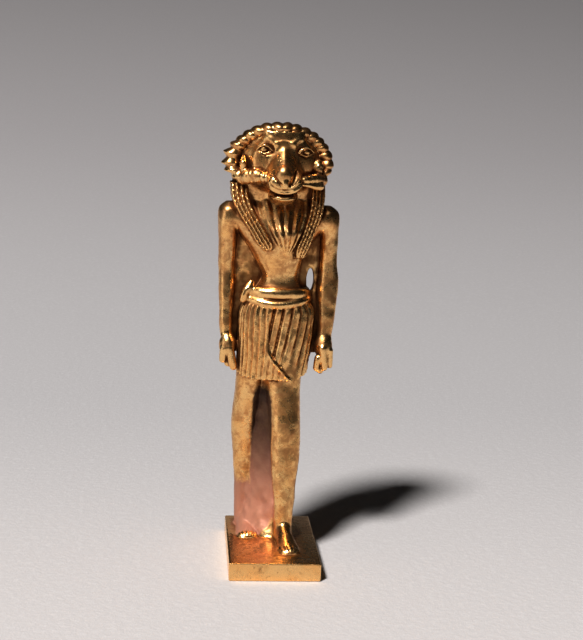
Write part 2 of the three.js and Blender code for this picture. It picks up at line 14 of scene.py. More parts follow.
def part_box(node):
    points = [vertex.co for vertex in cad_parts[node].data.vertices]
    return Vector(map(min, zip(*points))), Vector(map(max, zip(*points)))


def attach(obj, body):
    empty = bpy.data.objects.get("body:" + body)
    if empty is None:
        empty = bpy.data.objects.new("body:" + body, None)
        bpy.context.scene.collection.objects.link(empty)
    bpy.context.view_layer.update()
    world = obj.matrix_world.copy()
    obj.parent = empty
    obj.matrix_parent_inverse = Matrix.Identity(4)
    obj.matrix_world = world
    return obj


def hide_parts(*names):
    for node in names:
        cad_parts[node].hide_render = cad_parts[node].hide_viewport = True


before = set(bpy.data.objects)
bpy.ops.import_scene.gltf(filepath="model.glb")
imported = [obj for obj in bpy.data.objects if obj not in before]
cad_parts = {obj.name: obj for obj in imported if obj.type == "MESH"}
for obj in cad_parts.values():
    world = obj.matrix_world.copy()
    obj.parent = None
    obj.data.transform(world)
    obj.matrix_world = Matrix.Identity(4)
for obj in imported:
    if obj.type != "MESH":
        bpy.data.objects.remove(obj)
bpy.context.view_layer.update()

NODE = "ram_headed_amulet"
MM = 0.001
cad_low, cad_high = (np.array(corner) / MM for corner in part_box(NODE))

HEIGHT = cad_high[2]
GROUND = 1.47                              # top of the plinth
PLINTH = np.array([7.35, 12.1, GROUND])

GRID_STEP = 0.07   # spacing of the clay's grid
FAR = 1.0                                  # no gap in the clay is kept larger than this
MOST_TRIANGLES = 192_000


# Tables of sizes

def table(names, *rows):
    """Sizes of a form at places along it: one row for each place, under the given names."""
    return dict(zip(names.split(), np.array(rows, float).T))


def smooth(sizes, place):
    """Each size of a table at the given places, on a smooth curve through its rows."""
    names = list(sizes)
    knots = sizes[names[0]]
    steps = np.diff(knots)
    row = np.clip(np.searchsorted(knots, place) - 1, 0, len(steps) - 1)
    t = np.clip((place - knots[row]) / steps[row], 0, 1)
    found = {}
    for name in names[1:]:
        value = sizes[name]
        slope = np.gradient(value, knots)
        rise = value[row + 1] - value[row]
        lean_in = slope[row] * steps[row]
        lean_out = slope[row + 1] * steps[row]
        curve = value[row] + t * (lean_in + t * (3 * rise - 2 * lean_in - lean_out
                                                 + t * (lean_in + lean_out - 2 * rise)))
        found[name] = curve.astype(np.float32)
    return found


# Forms

class Form:
    """A solid form: the box that holds it, and how far points lie outside it."""

    def __init__(self, low, high, gap):
        self.low = np.array(low, float)
        self.high = np.array(high, float)
        self.gap = gap


def section_gap(u, v, wide, deep, power):
    """How far (u, v) lies outside a rounded square of half width wide and half depth deep."""
    a = np.abs(u) / wide + 1e-4
    b = np.abs(v) / deep + 1e-4
    reach = (a ** power + b ** power) ** (1 / power)
    fall = np.hypot(a ** (power - 1) / wide, b ** (power - 1) / deep) / reach ** (power - 1)
    return (reach - 1) / fall


def column(sizes, power=2.2, ripple=None):
    """A limb or trunk of level sections: z, x, y, wide, front and back at each place."""
    levels = np.linspace(sizes["z"][0], sizes["z"][-1], 60)
    shape = smooth(sizes, levels)
    low = [(shape["x"] - shape["wide"]).min(), (shape["y"] - shape["front"]).min(), levels[0]]
    high = [(shape["x"] + shape["wide"]).max(), (shape["y"] + shape["back"]).max(), levels[-1]]

    def gap(x, y, z):
        at = smooth(sizes, z)
        u = x - at["x"]
        v = y - at["y"]
        deep = np.where(v < 0, at["front"], at["back"])
        out = section_gap(u, v, at["wide"], deep, power)
        if ripple:
            out = out - ripple(u, v, z, at)
        return np.maximum(out, np.maximum(levels[0] - z, z - levels[-1]))
    return Form(low, high, gap)


def beam(sizes, power=2.1):
    """A form of upright sections from front to back: y, x, wide, top and bottom at each place."""
    places = np.linspace(sizes["y"][0], sizes["y"][-1], 60)
    shape = smooth(sizes, places)
    low = [(shape["x"] - shape["wide"]).min(), places[0], shape["bottom"].min()]
    high = [(shape["x"] + shape["wide"]).max(), places[-1], shape["top"].max()]

    def gap(x, y, z):
        at = smooth(sizes, y)
        middle = (at["top"] + at["bottom"]) / 2
        half = (at["top"] - at["bottom"]) / 2
        out = section_gap(x - at["x"], z - middle, at["wide"], half, power)
        return np.maximum(out, np.maximum(places[0] - y, y - places[-1]))
    return Form(low, high, gap)


def ball(x, y, z, wide, deep, tall):
    """An oval ball about (x, y, z)."""
    def gap(px, py, pz):
        u, v, w = (px - x) / wide, (py - y) / deep, (pz - z) / tall
        reach = np.sqrt(u * u + v * v + w * w) + 1e-6
        fall = np.sqrt((u / wide) ** 2 + (v / deep) ** 2 + (w / tall) ** 2) + 1e-6
        return reach * (reach - 1) / fall
    return Form([x - wide, y - deep, z - tall], [x + wide, y + deep, z + tall], gap)


def rod(*stops, rings=0, ring_height=0.0):
    """A round rod through stops (x, y, z, radius), with rounded ends and, if told, rings."""
    stops = np.array(stops, float)
    reach = stops[:, 3:].max() + ring_height
    lengths = np.sqrt((np.diff(stops[:, :3], axis=0) ** 2).sum(1))
    pitch = lengths.sum() / max(rings, 1)

    def gap(x, y, z):
        nearest = np.float32(FAR * 3)
        start = 0.0
        for (ax, ay, az, ar), (bx, by, bz, br), length in zip(stops[:-1], stops[1:], lengths):
            dx, dy, dz = bx - ax, by - ay, bz - az
            along = ((x - ax) * dx + (y - ay) * dy + (z - az) * dz) / length ** 2
            along = np.clip(along, 0, 1)
            away = np.sqrt((x - ax - along * dx) ** 2 + (y - ay - along * dy) ** 2
                           + (z - az - along * dz) ** 2)
            radius = ar + along * (br - ar)
            if rings:
                radius = radius + ring_height * (ridges((start + along * length) / pitch) - 0.5)
            nearest = np.minimum(nearest, away - radius)
            start += length
        return nearest
    return Form(stops[:, :3].min(0) - reach, stops[:, :3].max(0) + reach, gap)


def slab(low, high, edge):
    """A rectangular block with rounded edges."""
    low, high = np.array(low, float), np.array(high, float)
    middle, half = (low + high) / 2, (high - low) / 2 - edge

    def gap(x, y, z):
        over = [np.abs(p - m) - h for p, m, h in zip((x, y, z), middle, half)]
        outside = np.sqrt(sum(np.maximum(o, 0) ** 2 for o in over))
        inside = np.minimum(np.maximum(np.maximum(over[0], over[1]), over[2]), 0)
        return outside + inside - edge
    return Form(low, high, gap)


# The clay

class Clay:
    """A block of clay on a grid: the gap of each point outside what is modelled in it."""

    def __init__(self, low, high, step):
        self.step = step
        self.low = np.array(low, float)
        self.axes = [np.arange(a, b + step, step, dtype=np.float32) for a, b in zip(low, high)]
        self.gaps = np.full([len(axis) for axis in self.axes], FAR, np.float32)

    def window(self, low, high, margin=0.0):
        cuts = tuple(slice(max(int(np.searchsorted(axis, a - margin)) - 1, 0),
                           int(np.searchsorted(axis, b + margin)) + 1)
                     for axis, a, b in zip(self.axes, low, high))
        x, y, z = (axis[cut] for axis, cut in zip(self.axes, cuts))
        return cuts, x[:, None, None], y[None, :, None], z[None, None, :]

    def add(self, form, blend=0.15):
        """Lays a form on the clay, joined by a soft fillet."""
        cuts, x, y, z = self.window(form.low, form.high, blend + 0.45)
        old = self.gaps[cuts]
        new = np.minimum(form.gap(x, y, z), FAR).astype(np.float32)
        near = np.maximum(blend - np.abs(old - new), 0)
        self.gaps[cuts] = np.minimum(old, new) - near * near / (4 * blend)

    def carve(self, form, blend=0.08):
        """Cuts a form out of the clay, with a softened edge."""
        cuts, x, y, z = self.window(form.low, form.high, blend + 0.2)
        old = self.gaps[cuts]
        cut = -form.gap(x, y, z).astype(np.float32)
        near = np.maximum(blend - np.abs(old - cut), 0)
        self.gaps[cuts] = np.maximum(old, cut) + near * near / (4 * blend)

    def lift(self, low, high, amount):
        """Raises the skin inside a box by amount(x, y, z), in millimetres."""
        cuts, x, y, z = self.window(low, high)
        self.gaps[cuts] -= amount(x, y, z).astype(np.float32)

    def at(self, points):
        """The gap at any points, read between the grid's own."""
        place = (points - self.low) / self.step
        last = np.array(self.gaps.shape) - 2
        cell = np.clip(place.astype(int), 0, last)
        t = np.clip(place - cell, 0, 1).astype(np.float32)
        i, j, k = cell.T
        total = 0
        for dx in (0, 1):
            for dy in (0, 1):
                for dz in (0, 1):
                    share = (np.where(dx, t[:, 0], 1 - t[:, 0]) * np.where(dy, t[:, 1], 1 - t[:, 1])
                             * np.where(dz, t[:, 2], 1 - t[:, 2]))
                    total = total + share * self.gaps[i + dx, j + dy, k + dz]
        return total

    def front(self, x, z):
        """How far back the skin lies at each x and z, as seen from the front."""
        i = np.round((np.asarray(x) - self.low[0]) / self.step).astype(int)
        k = np.round((np.asarray(z) - self.low[2]) / self.step).astype(int)
        return self.axes[1][(self.gaps[i, :, k] < 0).argmax(1)]

    def slope(self, points):
        """Which way the gap grows, and how fast."""
        reach = self.step * 0.6
        found = np.empty_like(points)
        for axis in range(3):
            shift = np.zeros(3)
            shift[axis] = reach
            found[:, axis] = (self.at(points + shift) - self.at(points - shift)) / (2 * reach)
        return found

    def shelter(self, points, outward):
        """How much of the open air before each point is closed off by other parts nearby."""
        turns = np.arange(28) + 0.5
        up = 1 - 2 * turns / 28
        around = turns * math.pi * (3 - math.sqrt(5))
        ways = np.stack([np.sqrt(1 - up * up) * np.cos(around),
                         np.sqrt(1 - up * up) * np.sin(around), up], 1)
        closed = np.zeros(len(points))
        total = np.zeros(len(points))
        last = np.array(self.gaps.shape) - 1
        for way in ways:
            facing = np.maximum(outward @ way, 0)
            met = np.zeros(len(points), bool)
            for reach in (0.3, 0.6, 1.0, 1.5, 2.2):
                place = (points + outward * 0.15 + way * reach - self.low) / self.step + 0.5
                i, j, k = np.clip(place.astype(int), 0, last).T
                met |= self.gaps[i, j, k] < 0
            closed += facing * met
            total += facing
        return closed / np.maximum(total, 1e-6)

    def skin(self):
        """The skin as corners and four-sided faces, with one corner in each cell that it crosses."""
        solid = self.gaps < 0
        corners = sum(solid[i:solid.shape[0] - 1 + i, j:solid.shape[1] - 1 + j,
                            k:solid.shape[2] - 1 + k].astype(np.uint8)
                      for i in (0, 1) for j in (0, 1) for k in (0, 1))
        crossed = (corners > 0) & (corners < 8)
        number = np.full(crossed.shape, -1, np.int32)
        number[crossed] = np.arange(np.count_nonzero(crossed))
        cells = np.argwhere(crossed)
        middle = np.zeros((len(cells), 3))
        count = np.zeros(len(cells))
        for axis in range(3):
            u, v = (axis + 1) % 3, (axis + 2) % 3
            for du in (0, 1):
                for dv in (0, 1):
                    start = cells.copy()
                    start[:, u] += du
                    start[:, v] += dv
                    end = start.copy()
                    end[:, axis] += 1
                    a, b = self.gaps[tuple(start.T)], self.gaps[tuple(end.T)]
                    cut = (a < 0) != (b < 0)
                    point = start[cut].astype(float)
                    point[:, axis] += a[cut] / (a[cut] - b[cut])
                    middle[cut] += point
                    count[cut] += 1
        points = self.low + middle / count[:, None] * self.step
        faces = []
        for axis in range(3):
            u, v = (axis + 1) % 3, (axis + 2) % 3
            first = [slice(None)] * 3
            second = [slice(None)] * 3
            first[axis], second[axis] = slice(None, -1), slice(1, None)
            here = solid[tuple(first)]
            edges = np.argwhere(here != solid[tuple(second)])
            back_u = np.eye(3, dtype=int)[u]
            back_v = np.eye(3, dtype=int)[v]
            quad = np.stack([number[tuple((edges - shift).T)]
                             for shift in (back_u + back_v, back_v, 0 * back_u, back_u)], 1)
            outward = here[tuple(edges.T)]
            faces.append(np.where(outward[:, None], quad, quad[:, ::-1]))
        return self.settle(points), np.concatenate(faces)

    def settle(self, points, rounds=3):
        """Moves points on to the skin."""
        for _ in range(rounds):
            slope = self.slope(points)
            steep = np.maximum((slope * slope).sum(1), 0.2)
            move = (self.at(points) / steep)[:, None] * slope
            points = points - np.clip(move, -self.step, self.step)
        return points


def stroke(clay, *stops, raised=True, sink=0.0, blend=0.05):
    """Draws a line on the front of the clay through stops (x, z, radius), raised or cut."""
    x, z, radius = np.array(stops, float).T
    along = np.concatenate([[0], np.cumsum(np.hypot(np.diff(x), np.diff(z)))])
    line = dict(along=along, x=x, z=z, radius=radius)
    at = smooth(line, np.linspace(0, along[-1], int(along[-1] / 0.15) + 3))
    y = clay.front(at["x"], at["z"])
    y = np.convolve(np.pad(y, 1, "edge"), [0.25, 0.5, 0.25], "valid") + sink
    form = rod(*zip(at["x"], y, at["z"], at["radius"]))
    if raised:
        clay.add(form, blend)
    else:
        clay.carve(form, blend)


def lumps(seed, size, low, high):
    """A smooth random field of lumps of one size, mostly between -1 and 1."""
    low, high = np.array(low, float), np.array(high, float)
    count = np.ceil((high - low) / size).astype(int) + 4
    knots = np.random.default_rng(seed).uniform(-2.6, 2.6, count).astype(np.float32)

    def weights(axis, values):
        place = (np.ravel(values) - low[axis]) / size + 1.5
        away = np.abs(place[:, None] - np.arange(count[axis])[None, :])
        near = 2 / 3 - away ** 2 + away ** 3 / 2
        far = np.clip(2 - away, 0, None) ** 3 / 6
        return np.where(away < 1, near, far).astype(np.float32)

    def amount(x, y, z):
        rows = [weights(axis, values) for axis, values in enumerate((x, y, z))]
        found = np.tensordot(rows[0], knots, (1, 0))
        found = np.tensordot(found, rows[1], (1, 1))
        found = np.tensordot(found, rows[2], (1, 1))
        return found
    return amount


def ease(value, start, end):
    """Rises smoothly from 0 at start to 1 at end."""
    t = np.clip((value - start) / (end - start), 0, 1)
    return t * t * (3 - 2 * t)


def ridges(phase):
    """Round ridges with sharp valleys, one for each whole number of phase: 0 in a valley, 1 on top."""
    return np.abs(np.sin(phase * np.pi))


# Sizes of the limbs and trunk

REAR_LEG = table("z x y wide front back",
                 (GROUND - 0.3, -2.1, 4.1, 0.85, 0.9, 0.85),
                 (3.3, -2.15, 4.05, 0.84, 0.85, 0.8),
                 (6.5, -2.15, 3.85, 0.98, 0.95, 1.05),
                 (8.6, -2.25, 3.65, 1.1, 1.0, 1.2),
                 (10.8, -2.35, 3.4, 1.13, 1.15, 1.1),
                 (13.2, -2.1, 3.15, 1.2, 1.3, 1.3),
                 (17.5, -1.7, 2.9, 1.35, 1.5, 1.6))

FRONT_LEG = table("z x y wide front back",
                  (GROUND - 0.3, 0.95, 0.2, 0.8, 0.8, 0.85),
                  (3.6, 0.97, 0.25, 0.8, 0.78, 0.82),
                  (4.8, 0.98, 0.4, 0.87, 0.85, 0.95),
                  (6.6, 0.97, 0.65, 1.02, 0.95, 1.15),
                  (8.4, 0.99, 0.9, 1.18, 1.05, 1.3),
                  (10.7, 0.97, 1.25, 1.25, 1.2, 1.15),
                  (13.2, 0.77, 1.75, 1.36, 1.35, 1.3),
                  (17.5, 0.7, 2.3, 1.5, 1.5, 1.6))

FOOT_LENGTH = 5.05
FOOT_SOLE = 0.4
FOOT = table("along wide up",
             (0, 0.35, 0.5),
             (0.07, 0.66, 1.25),
             (0.2, 0.78, 1.9),
             (0.4, 0.74, 1.3),
             (0.62, 0.84, 0.78),
             (0.85, 0.88, 0.5),
             (0.97, 0.72, 0.36),
             (1, 0.5, 0.2))
REAR_FOOT = ((-2.12, 5.1), (-1.92, 0.05))
FRONT_FOOT = ((0.85, 1.15), (1.42, -3.95))

LEG_WEB = table("z x y long thick",
                (GROUND - 0.3, -0.7, 1.9, 2.3, 1.25),
                (2.3, -0.65, 2.1, 2.1, 0.85),
                (4.5, -0.6, 2.35, 1.9, 0.62),
                (9, -0.6, 2.5, 1.7, 0.55),
                (14, -0.6, 2.6, 1.6, 0.7),
                (17.2, -0.5, 2.6, 1.6, 1.0))
LEG_WEB_TURN = math.radians(-42)

TORSO = table("z x y wide front back",
              (20, -0.05, 2.7, 2.3, 1.6, 1.65),
              (21.8, 0.05, 2.7, 2.1, 1.6, 1.6),
              (23, 0.2, 2.75, 1.52, 1.4, 1.25),
              (24.4, 0.05, 2.75, 1.85, 1.55, 1.35),
              (25.6, -0.05, 2.75, 2.4, 1.75, 1.5),
              (27, -0.05, 2.8, 3.45, 1.8, 1.6),
              (28.3, -0.05, 2.85, 4.15, 1.55, 1.45),
              (29, -0.05, 2.85, 3.9, 1.25, 1.2),
              (29.5, -0.05, 2.85, 2.6, 0.9, 0.9))

LEFT_ARM = table("z x y wide front back",
                 (18.3, -4.15, 2.4, 0.5, 0.6, 0.6),
                 (19.3, -4.2, 2.5, 0.55, 0.65, 0.65),
                 (21.5, -4.2, 2.75, 0.62, 0.75, 0.8),
                 (23.5, -4.25, 2.95, 0.68, 0.8, 0.85),
                 (26, -4.22, 2.9, 0.75, 0.95, 0.95),
                 (28.2, -4.15, 2.85, 0.86, 1.15, 1.1),
                 (28.95, -4.1, 2.85, 0.78, 0.95, 0.95),
                 (29.3, -4.05, 2.85, 0.42, 0.5, 0.5))

RIGHT_ARM = table("z x y wide front back",
                  (18.2, 4, 2.3, 0.58, 0.6, 0.6),
                  (19.2, 4.1, 2.45, 0.66, 0.68, 0.68),
                  (20.8, 4.12, 2.65, 0.78, 0.78, 0.8),
                  (22.7, 4.22, 2.9, 0.9, 0.85, 0.9),
                  (24.4, 4.18, 2.95, 0.73, 0.85, 0.9),
                  (26.5, 4.15, 2.9, 0.75, 0.95, 0.95),
                  (28, 4.02, 2.85, 0.86, 1.15, 1.1),
                  (28.8, 3.9, 2.85, 0.8, 0.95, 0.95),
                  (29.15, 3.8, 2.85, 0.42, 0.5, 0.5))

ARM_WEB_Y = 3.3
ARM_WEB = table("z inner outer thick",
                (16.8, 2.2, 4.1, 0.3),
                (21, 1.6, 4.1, 0.32),
                (24, 1.2, 4.1, 0.35),
                (27.6, 1.2, 4.1, 0.5))
WAIST_OPENING = (2.72, ARM_WEB_Y, 22.95, 0.3, 2.5, 0.98)

KILT = table("z x y wide front back",
             (13.6, -0.28, 2.75, 2.95, 2.25, 2.15),
             (15.3, -0.25, 2.75, 2.95, 2.2, 2.15),
             (17, -0.1, 2.7, 3.05, 2.15, 2.15),
             (19, -0.02, 2.7, 3.12, 2.1, 2.15),
             (20.4, 0, 2.65, 3.08, 2.0, 2.05),
             (21.1, 0, 2.65, 2.8, 1.85, 1.85),
             (21.7, 0, 2.65, 2.3, 1.6, 1.6))
KILT_HEM = 15.3
KILT_DIP = 0.45
FINE_PLEATS = 38
FINE_DEPTH = 0.15
WIDE_PLEATS = 24
WIDE_DEPTH = 0.3
LEAN = 0.055
WRAP_EDGE = table("z x",
                  (14.6, 1.5),
                  (15.2, 0.98),
                  (15.8, 0.45),
                  (16.5, -0.15),
                  (17.4, -0.62),
                  (18.7, -0.72),
                  (21.5, -0.78))

BELT = dict(x=0.0, y=2.68, wide=2.5, deep=1.75, back_rise=0.4)
LOWER_ROLL = dict(radius=0.38, tall=1.0, side=21.6, front_drop=0.5, shrink=0.0)
UPPER_ROLL = dict(radius=0.38, tall=1.3, side=21.9, front_drop=-0.08, shrink=0.14)

WIG = table("z x y wide front back",
            (28.4, -0.25, 3.1, 3.1, 1.1, 1.6),
            (29.4, -0.3, 2.9, 3.6, 1.2, 1.75),
            (31, -0.25, 2.8, 3.7, 1.6, 1.9),
            (33, -0.2, 2.7, 3.8, 1.6, 1.95),
            (34.5, -0.15, 2.5, 2.8, 1.1, 1.5),
            (35.3, -0.1, 2.3, 1.5, 0.8, 0.8),
            (35.55, -0.1, 2.2, 0.5, 0.3, 0.3))
BACK_TAB = table("z x y wide front back",
                 (25.75, -0.15, 4.2, 1.6, 0.5, 0.2),
                 (26.1, -0.15, 4.2, 1.75, 0.5, 0.5),
                 (30.5, -0.15, 4.15, 2.5, 0.5, 0.5))
LEFT_LAPPET = table("z x y wide front back",
                    (25.55, -0.98, 1.2, 0.32, 0.3, 0.3),
                    (25.9, -1.15, 1.2, 0.58, 0.5, 0.4),
                    (27, -1.8, 1.25, 0.66, 0.6, 0.6),
                    (28.4, -2.68, 1.55, 0.72, 0.68, 0.6),
                    (29.7, -3.3, 1.95, 0.76, 0.75, 0.6),
                    (31, -3.45, 2.3, 0.76, 0.75, 0.6))
RIGHT_LAPPET = table("z x y wide front back",
                     (24.95, 1.62, 1.3, 0.3, 0.3, 0.3),
                     (25.4, 1.72, 1.3, 0.46, 0.45, 0.4),
                     (27, 2.3, 1.4, 0.52, 0.55, 0.6),
                     (28.6, 2.82, 1.65, 0.58, 0.65, 0.6),
                     (29.8, 3.0, 1.95, 0.6, 0.75, 0.6),
                     (31, 3.0, 2.3, 0.6, 0.75, 0.6))
STRANDS = 4
FLEECE = table("z x y wide front back",
               (25.2, 0.5, 1.3, 0.25, 0.2, 0.3),
               (26, 0.42, 1.35, 0.85, 0.55, 0.5),
               (27, 0.32, 1.4, 1.4, 0.75, 0.7),
               (27.7, 0.25, 1.5, 1.75, 0.55, 0.8),
               (28.6, 0.2, 1.75, 2.1, 0.5, 0.9),
               (30.2, 0, 2.3, 2.2, 0.5, 1.0))

SKULL = table("y x wide top bottom",
              (0.05, -0.02, 1.2, 34.4, 31.2),
              (0.3, -0.02, 2.05, 34.85, 30.7),
              (0.8, -0.05, 2.65, 35.1, 30.4),
              (1.4, -0.1, 3.2, 35.3, 30.2),
              (2.1, -0.15, 3.85, 35.4, 30.2),
              (3, -0.15, 3.3, 34.9, 30.4))
FOREHEAD = table("z x y wide front back",
                 (33.2, 0, 0.9, 0.95, 0.9, 0.5),
                 (33.9, 0, 0.9, 1.1, 0.92, 0.5),
                 (34.6, 0, 0.9, 1.5, 0.88, 0.5),
                 (35.2, 0, 0.9, 1.7, 0.8, 0.5))
NOSE = table("y x wide top bottom",
             (-1.7, 0.0, 0.55, 32.25, 31.3),
             (-1.35, 0.0, 0.8, 32.68, 31.1),
             (-0.9, 0.0, 0.98, 33.1, 30.9),
             (-0.4, 0.0, 1.12, 33.62, 30.8),
             (0.1, 0.0, 1.3, 34.2, 30.7),
             (0.5, 0.0, 1.5, 34.75, 30.6),
             (0.9, 0.0, 1.7, 35.05, 30.6))
MUZZLE = table("y x wide top bottom",
               (-1.82, 0.02, 0.72, 31.6, 30.72),
               (-1.6, 0.02, 1.05, 31.95, 30.52),
               (-1.15, 0.02, 1.3, 32.3, 30.42),
               (-0.4, 0.02, 1.42, 32.6, 30.35),
               (0.5, 0.02, 1.75, 33.2, 30.3))
JAW = table("y x wide top bottom",
            (-1.42, 0.02, 0.55, 30.22, 29.92),
            (-1.2, 0.02, 0.78, 30.3, 29.74),
            (-0.6, 0.02, 0.9, 30.6, 29.6),
            (0.5, 0.02, 1.2, 30.8, 29.3))

HORN = dict(x=-0.15, z=32.5, left=4.0, right=3.8, fall=1.7, front=0.9, set_back=1.1,
            sweep=math.radians(137), radial=0.44, rib=0.15, spike=0.3, deep=0.85, inner=0.4)
LEFT_RIBS = (6, 16, 26, 36, 47, 60, 74, 89, 107, 126)
RIGHT_RIBS = (5.5, 16.5, 28, 40, 50.5, 61.5, 73, 88.5, 106, 125)


# Modelling

def foot(clay, ends):
    """A foot from heel to toes, with a flat sole and grooves between the toes."""
    (hx, hy), (tx, ty) = ends
    length = math.hypot(tx - hx, ty - hy)
    ax, ay = (tx - hx) / length, (ty - hy) / length

    def gap(x, y, z):
        along = ((x - hx) * ax + (y - hy) * ay) / FOOT_LENGTH
        across = (x - hx) * -ay + (y - hy) * ax
        at = smooth(FOOT, np.clip(along, 0, 1))
        up = np.where(z > GROUND, at["up"], FOOT_SOLE)
        out = section_gap(across, z - GROUND, at["wide"], up, 2.0)
        toes = 0.07 * ease(along, 0.78, 0.88) * (1 - ridges((across / at["wide"] + 1) * 2.5))
        return np.maximum(out + toes * (z > GROUND), np.maximum(-along, along - 1) * FOOT_LENGTH)
    low = [min(hx, tx) - 1, min(hy, ty) - 0.3, GROUND - 0.4]
    high = [max(hx, tx) + 1, max(hy, ty) + 0.3, GROUND + 2.0]
    clay.add(Form(low, high, gap), 0.12)


def leg_web(clay):
    """The sheet of metal left between the legs, slantwise and spreading at the plinth."""
    cos, sin = math.cos(LEG_WEB_TURN), math.sin(LEG_WEB_TURN)
    low, high = [-2.8, -0.6, LEG_WEB["z"][0]], [1.6, 4.4, LEG_WEB["z"][-1]]
    lump = lumps(5, 0.45, low, high)

    def gap(x, y, z):
        at = smooth(LEG_WEB, z)
        u = (x - at["x"]) * cos + (y - at["y"]) * sin
        v = (y - at["y"]) * cos - (x - at["x"]) * sin
        out = section_gap(u, v, at["long"], at["thick"], 3.0)
        rough = (0.06 + 0.1 * (1 - ease(z, 2.5, 7))) * lump(x, y, z)
        return np.maximum(out - rough, np.maximum(low[2] - z, z - high[2]))
    clay.add(Form(low, high, gap), 0.25)


def arm_webs(clay):
    """Thin metal between each arm and the body, open beside the waist on the viewer's right."""
    for side in (-1, 1):
        low = sorted([side * 1.0, side * 4.2])
        box_low, box_high = [low[0], 2.6, ARM_WEB["z"][0]], [low[1], 4.0, ARM_WEB["z"][-1]]
        lump = lumps(8 + side, 0.5, box_low, box_high)

        def gap(x, y, z):
            at = smooth(ARM_WEB, z)
            u = side * x - (at["inner"] + at["outer"]) / 2
            half = (at["outer"] - at["inner"]) / 2
            out = section_gap(u, y - ARM_WEB_Y, half, at["thick"], 4.0)
            return np.maximum(out - 0.05 * lump(x, y, z),
                              np.maximum(box_low[2] - z, z - box_high[2]))
        clay.add(Form(box_low, box_high, gap), 0.2)
    clay.carve(ball(*WAIST_OPENING), 0.1)


def kilt(clay):
    """The pleated kilt: fine pleats on the viewer's left, whose slanting edge wraps over broad ones."""
    def ripple(u, v, z, at):
        around = np.arctan2(u / at["wide"], -v / at["front"])
        fall = 21.3 - z
        edge = smooth(WRAP_EDGE, z)["x"] - at["x"]
        fine = ridges(around * FINE_PLEATS / (2 * np.pi))
        lean = around + LEAN * fall * np.clip(np.cos(around * 0.5), 0, 1)
        turn = lean * WIDE_PLEATS / (2 * np.pi) + 0.27
        wide = ridges(turn) * (0.85 + 0.3 * np.exp(-((fall - 0.75) / 0.35) ** 2)) + 0.15 * ridges(2 * turn)
        under = ease(u, edge - 0.05, edge + 0.08) * (v < 0)
        border = np.exp(-((u - edge + 0.22) / 0.15) ** 2) * (v < 0) * ease(fall, 3.2, 4.2)
        over = 0.1 * np.exp(-np.maximum(edge - u, 0) / 0.8) * (v < 0) * ease(fall, 2.5, 4.5)
        left = FINE_DEPTH * (fine - 0.6) * (1 - border) + over + 0.1 * border
        right = WIDE_DEPTH * (wide - 0.8) - 0.04
        return (left + (right - left) * under) * ease(fall, 0.0, 0.5)
    skirt = column(KILT, 2.4, ripple)

    def gap(x, y, z):
        front = np.clip((2.7 - y) / 2.2, 0, 1)
        return np.maximum(skirt.gap(x, y, z), KILT_HEM - KILT_DIP * front - z)
    clay.add(Form(skirt.low, skirt.high, gap), 0.06)


def belt_roll(clay, radius, tall, side, front_drop, shrink):
    """A roll of the belt: a round band in a loop about the waist."""
    def gap(x, y, z):
        u, v = x - BELT["x"], y - BELT["y"]
        out = np.hypot(u, v)
        cos, sin = u / (out + 1e-6), v / (out + 1e-6)
        reach = 1 / np.hypot(cos / (BELT["wide"] - shrink), sin / (BELT["deep"] - shrink))
        level = side + np.where(sin < 0, front_drop, BELT["back_rise"]) * sin
        return np.hypot(out - reach, (z - level) / tall) - radius
    reach = BELT["wide"] + radius
    low = [-reach, BELT["y"] - reach, side - 1.2]
    clay.add(Form(low, [reach, BELT["y"] + reach, side + 1.0], gap), 0.06)


def shoulders(clay):
    """The flesh from the chest over each shoulder to the arm."""
    clay.add(rod((-4.0, 2.75, 28.1, 0.9), (-2.6, 2.6, 27.9, 1.0)), 0.4)
    clay.add(ball(-4.2, 2.7, 28.35, 0.74, 0.9, 0.75), 0.2)
    clay.add(rod((3.85, 2.75, 27.9, 0.9), (2.6, 2.6, 27.8, 1.0)), 0.4)
    clay.add(ball(4.05, 2.7, 28.2, 0.76, 0.9, 0.75), 0.2)


def hip(clay):
    """The bunched cloth at the end of the belt, on the viewer's left."""
    low, high = [-3.5, 1.0, 20.8], [-1.8, 2.8, 23.2]
    lump = lumps(31, 0.3, low, high)
    knot = rod((-2.85, 1.75, 21.45, 0.34), (-2.6, 1.75, 22.1, 0.4), (-2.25, 1.9, 22.75, 0.25))
    clay.add(Form(low, high, lambda x, y, z: knot.gap(x, y, z) - 0.06 * lump(x, y, z)), 0.3)


def hands(clay):
    """The hands: a closed palm, the thumb in front and the fingers pointing down."""
    clay.add(ball(-4.0, 2.15, 17.5, 0.72, 0.8, 1.0), 0.3)
    clay.add(rod((-4.3, 1.7, 17.2, 0.34), (-4.4, 1.75, 16.3, 0.26)), 0.12)
    clay.add(rod((-3.85, 1.6, 17.3, 0.34), (-3.5, 1.6, 15.75, 0.3)), 0.12)
    clay.add(rod((-4.1, 2.5, 17.2, 0.4), (-3.9, 2.4, 15.9, 0.32)), 0.12)
    clay.add(ball(3.95, 2.15, 17.5, 0.78, 0.8, 1.0), 0.3)
    clay.add(rod((3.85, 1.55, 17.4, 0.34), (4.05, 1.6, 15.8, 0.28)), 0.12)
    clay.add(rod((4.45, 1.8, 17.2, 0.32), (4.5, 1.9, 15.95, 0.26)), 0.1)
    clay.add(rod((3.5, 1.7, 16.6, 0.3), (3.4, 1.7, 15.75, 0.3), (3.75, 1.75, 15.5, 0.26)), 0.12)
    clay.add(rod((4.0, 2.5, 17.2, 0.42), (3.95, 2.4, 15.8, 0.34)), 0.12)


def strands(count, depth, notch):
    """Plaited strands on the outer face of a band, with notches along them."""
    def ripple(u, v, z, at):
        across = (u / at["wide"] + 1) / 2 * count
        knot = np.cos(2 * np.pi * (z / 0.42 + 0.5 * np.floor(across)))
        return (depth * (ridges(across) - 0.5) + notch * knot) * (v < 0.2)
    return ripple


